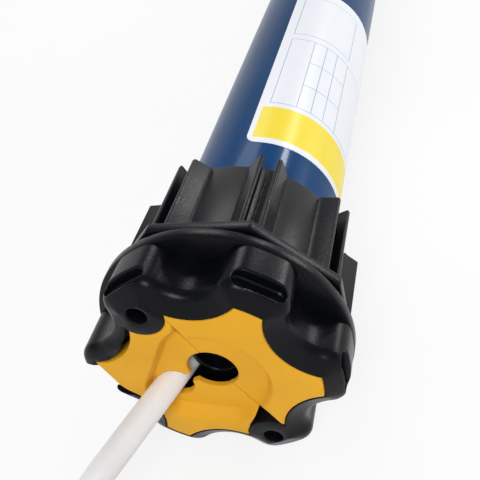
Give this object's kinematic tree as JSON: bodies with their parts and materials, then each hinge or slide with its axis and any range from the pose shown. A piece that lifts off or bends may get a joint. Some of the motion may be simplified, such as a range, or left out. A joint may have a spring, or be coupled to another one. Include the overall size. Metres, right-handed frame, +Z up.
{
  "type": "tubular roller blind motor",
  "caption": "Tubular motor for a roller blind or shutter: star shaped bracket head with a split cover, free running crown, round tube, octagonal drive wheel and coiled mains lead.",
  "frame": {"origin": "on the motor's axis in the plane of the head's front face, midway between the two bracket screw holes", "axes": "+Y along the axis from the head to the drive wheel, +Z up as the motor lies in the picture, +X to the right seen from the head"},
  "size_m": [0.1104, 0.7477, 0.068],
  "materials": {
    "black_plastic": "fine grained moulding",
    "yellow_plastic": "fine grained moulding",
    "tube_paint": "glossy coating",
    "label_film": "satin film",
    "cable_sheath": "satin sheath",
    "tie_nylon": "smooth",
    "core_brown": "smooth",
    "core_blue": "smooth",
    "core_earth": "smooth",
    "bright_steel": "machined",
    "laminated_steel": "stacked sheet",
    "sintered_steel": "sintered",
    "contact_brass": "machined",
    "winding": "lacquered wire",
    "pale_plastic": "smooth",
    "gear_plastic": "smooth",
    "board_green": "lacquered",
    "part_blue": "moulded",
    "part_yellow": "moulded",
    "part_dark": "moulded",
    "rubber": "smooth",
    "aluminium_can": "drawn",
    "brake_lining": "pressed"
  },
  "bodies": {
    "motor": {"head_body": "black_plastic", "upper_cover": "yellow_plastic", "cable_cover": "yellow_plastic", "cable_plug": "cable_sheath", "plug_socket": "pale_plastic", "socket_pins": "contact_brass", "motor_tube": "tube_paint", "tube_label": "label_film", "tube_rivets": "bright_steel", "board_carrier": "pale_plastic", "control_board": "board_green", "board_relays": "part_blue", "supply_block": "part_yellow", "radio_module": "part_blue", "terminal_block": "part_dark", "run_capacitor": "aluminium_can", "capacitor_rings": "rubber", "front_bell": "aluminium_can", "front_bearing": "bright_steel", "stator_core": "laminated_steel", "stator_windings": "winding", "rear_bell": "aluminium_can", "rear_bearing": "bright_steel", "brake_spring": "bright_steel", "brake_housing": "part_dark", "ring_gear": "gear_plastic", "output_bush": "contact_brass", "end_flange": "black_plastic", "cable_lead": "cable_sheath", "cable_coil": "cable_sheath", "coil_tie": "tie_nylon", "core_brown": "core_brown", "core_blue": "core_blue", "core_earth": "core_earth", "core_ferrules": "bright_steel"},
    "crown": {"crown": "black_plastic"},
    "output": {"carrier_3": "sintered_steel", "pins_3": "bright_steel", "output_shaft": "bright_steel", "drive_wheel": "black_plastic", "wheel_screw": "bright_steel"},
    "carrier_two": {"carrier_2": "sintered_steel", "pins_2": "bright_steel"},
    "carrier_one": {"carrier_1": "sintered_steel", "pins_1": "bright_steel"},
    "rotor": {"rotor_core": "laminated_steel", "rotor_shaft": "bright_steel", "brake_disc": "brake_lining", "sun_pinion": "contact_brass"},
    "brake_plate": {"brake_plate": "laminated_steel"},
    "planet_1a": {"planet_1a": "gear_plastic"},
    "planet_1b": {"planet_1b": "gear_plastic"},
    "planet_1c": {"planet_1c": "gear_plastic"},
    "planet_2a": {"planet_2a": "gear_plastic"},
    "planet_2b": {"planet_2b": "gear_plastic"},
    "planet_2c": {"planet_2c": "gear_plastic"},
    "planet_3a": {"planet_3a": "sintered_steel"},
    "planet_3b": {"planet_3b": "sintered_steel"},
    "planet_3c": {"planet_3c": "sintered_steel"}
  },
  "joints": [
    {"name": "crown_spin", "type": "hinge", "parent": "motor", "child": "crown", "pos_m": [0, 0.03, 0], "axis": [0, 1, 0], "continuous": true},
    {"name": "drive_spin", "type": "hinge", "parent": "motor", "child": "output", "pos_m": [0, 0.56, 0], "axis": [0, 1, 0], "continuous": true},
    {"name": "carrier_two_spin", "type": "hinge", "parent": "motor", "child": "carrier_two", "pos_m": [0, 0.46, 0], "axis": [0, 1, 0], "continuous": true},
    {"name": "carrier_one_spin", "type": "hinge", "parent": "motor", "child": "carrier_one", "pos_m": [0, 0.44, 0], "axis": [0, 1, 0], "continuous": true},
    {"name": "rotor_spin", "type": "hinge", "parent": "motor", "child": "rotor", "pos_m": [0, 0.35, 0], "axis": [0, 1, 0], "continuous": true},
    {"name": "planet_1a_spin", "type": "hinge", "parent": "carrier_one", "child": "planet_1a", "pos_m": [0.012, 0.44, 0], "axis": [0, 1, 0], "continuous": true},
    {"name": "planet_1b_spin", "type": "hinge", "parent": "carrier_one", "child": "planet_1b", "pos_m": [-0.006, 0.44, 0.01039], "axis": [0, 1, 0], "continuous": true},
    {"name": "planet_1c_spin", "type": "hinge", "parent": "carrier_one", "child": "planet_1c", "pos_m": [-0.006, 0.44, -0.01039], "axis": [0, 1, 0], "continuous": true},
    {"name": "planet_2a_spin", "type": "hinge", "parent": "carrier_two", "child": "planet_2a", "pos_m": [0.012, 0.46, 0], "axis": [0, 1, 0], "continuous": true},
    {"name": "planet_2b_spin", "type": "hinge", "parent": "carrier_two", "child": "planet_2b", "pos_m": [-0.006, 0.46, 0.01039], "axis": [0, 1, 0], "continuous": true},
    {"name": "planet_2c_spin", "type": "hinge", "parent": "carrier_two", "child": "planet_2c", "pos_m": [-0.006, 0.46, -0.01039], "axis": [0, 1, 0], "continuous": true},
    {"name": "planet_3a_spin", "type": "hinge", "parent": "output", "child": "planet_3a", "pos_m": [0.012, 0.48, 0], "axis": [0, 1, 0], "continuous": true},
    {"name": "planet_3b_spin", "type": "hinge", "parent": "output", "child": "planet_3b", "pos_m": [-0.006, 0.48, 0.01039], "axis": [0, 1, 0], "continuous": true},
    {"name": "planet_3c_spin", "type": "hinge", "parent": "output", "child": "planet_3c", "pos_m": [-0.006, 0.48, -0.01039], "axis": [0, 1, 0], "continuous": true},
    {"name": "brake_slide", "type": "slide", "parent": "motor", "child": "brake_plate", "axis": [0, 1, 0], "range_m": [0, 0.0008], "stiffness_N_per_m": 4000, "springref_m": -0.004, "deforming": ["brake_spring"]}
  ],
  "couplings": [
    {"joint": "carrier_two_spin", "follows": "drive_spin", "ratio": 5},
    {"joint": "carrier_one_spin", "follows": "drive_spin", "ratio": 25},
    {"joint": "rotor_spin", "follows": "drive_spin", "ratio": 125},
    {"joint": "planet_1a_spin", "follows": "drive_spin", "ratio": -66.667},
    {"joint": "planet_1b_spin", "follows": "drive_spin", "ratio": -66.667},
    {"joint": "planet_1c_spin", "follows": "drive_spin", "ratio": -66.667},
    {"joint": "planet_2a_spin", "follows": "drive_spin", "ratio": -13.333},
    {"joint": "planet_2b_spin", "follows": "drive_spin", "ratio": -13.333},
    {"joint": "planet_2c_spin", "follows": "drive_spin", "ratio": -13.333},
    {"joint": "planet_3a_spin", "follows": "drive_spin", "ratio": -2.6667},
    {"joint": "planet_3b_spin", "follows": "drive_spin", "ratio": -2.6667},
    {"joint": "planet_3c_spin", "follows": "drive_spin", "ratio": -2.6667}
  ]
}
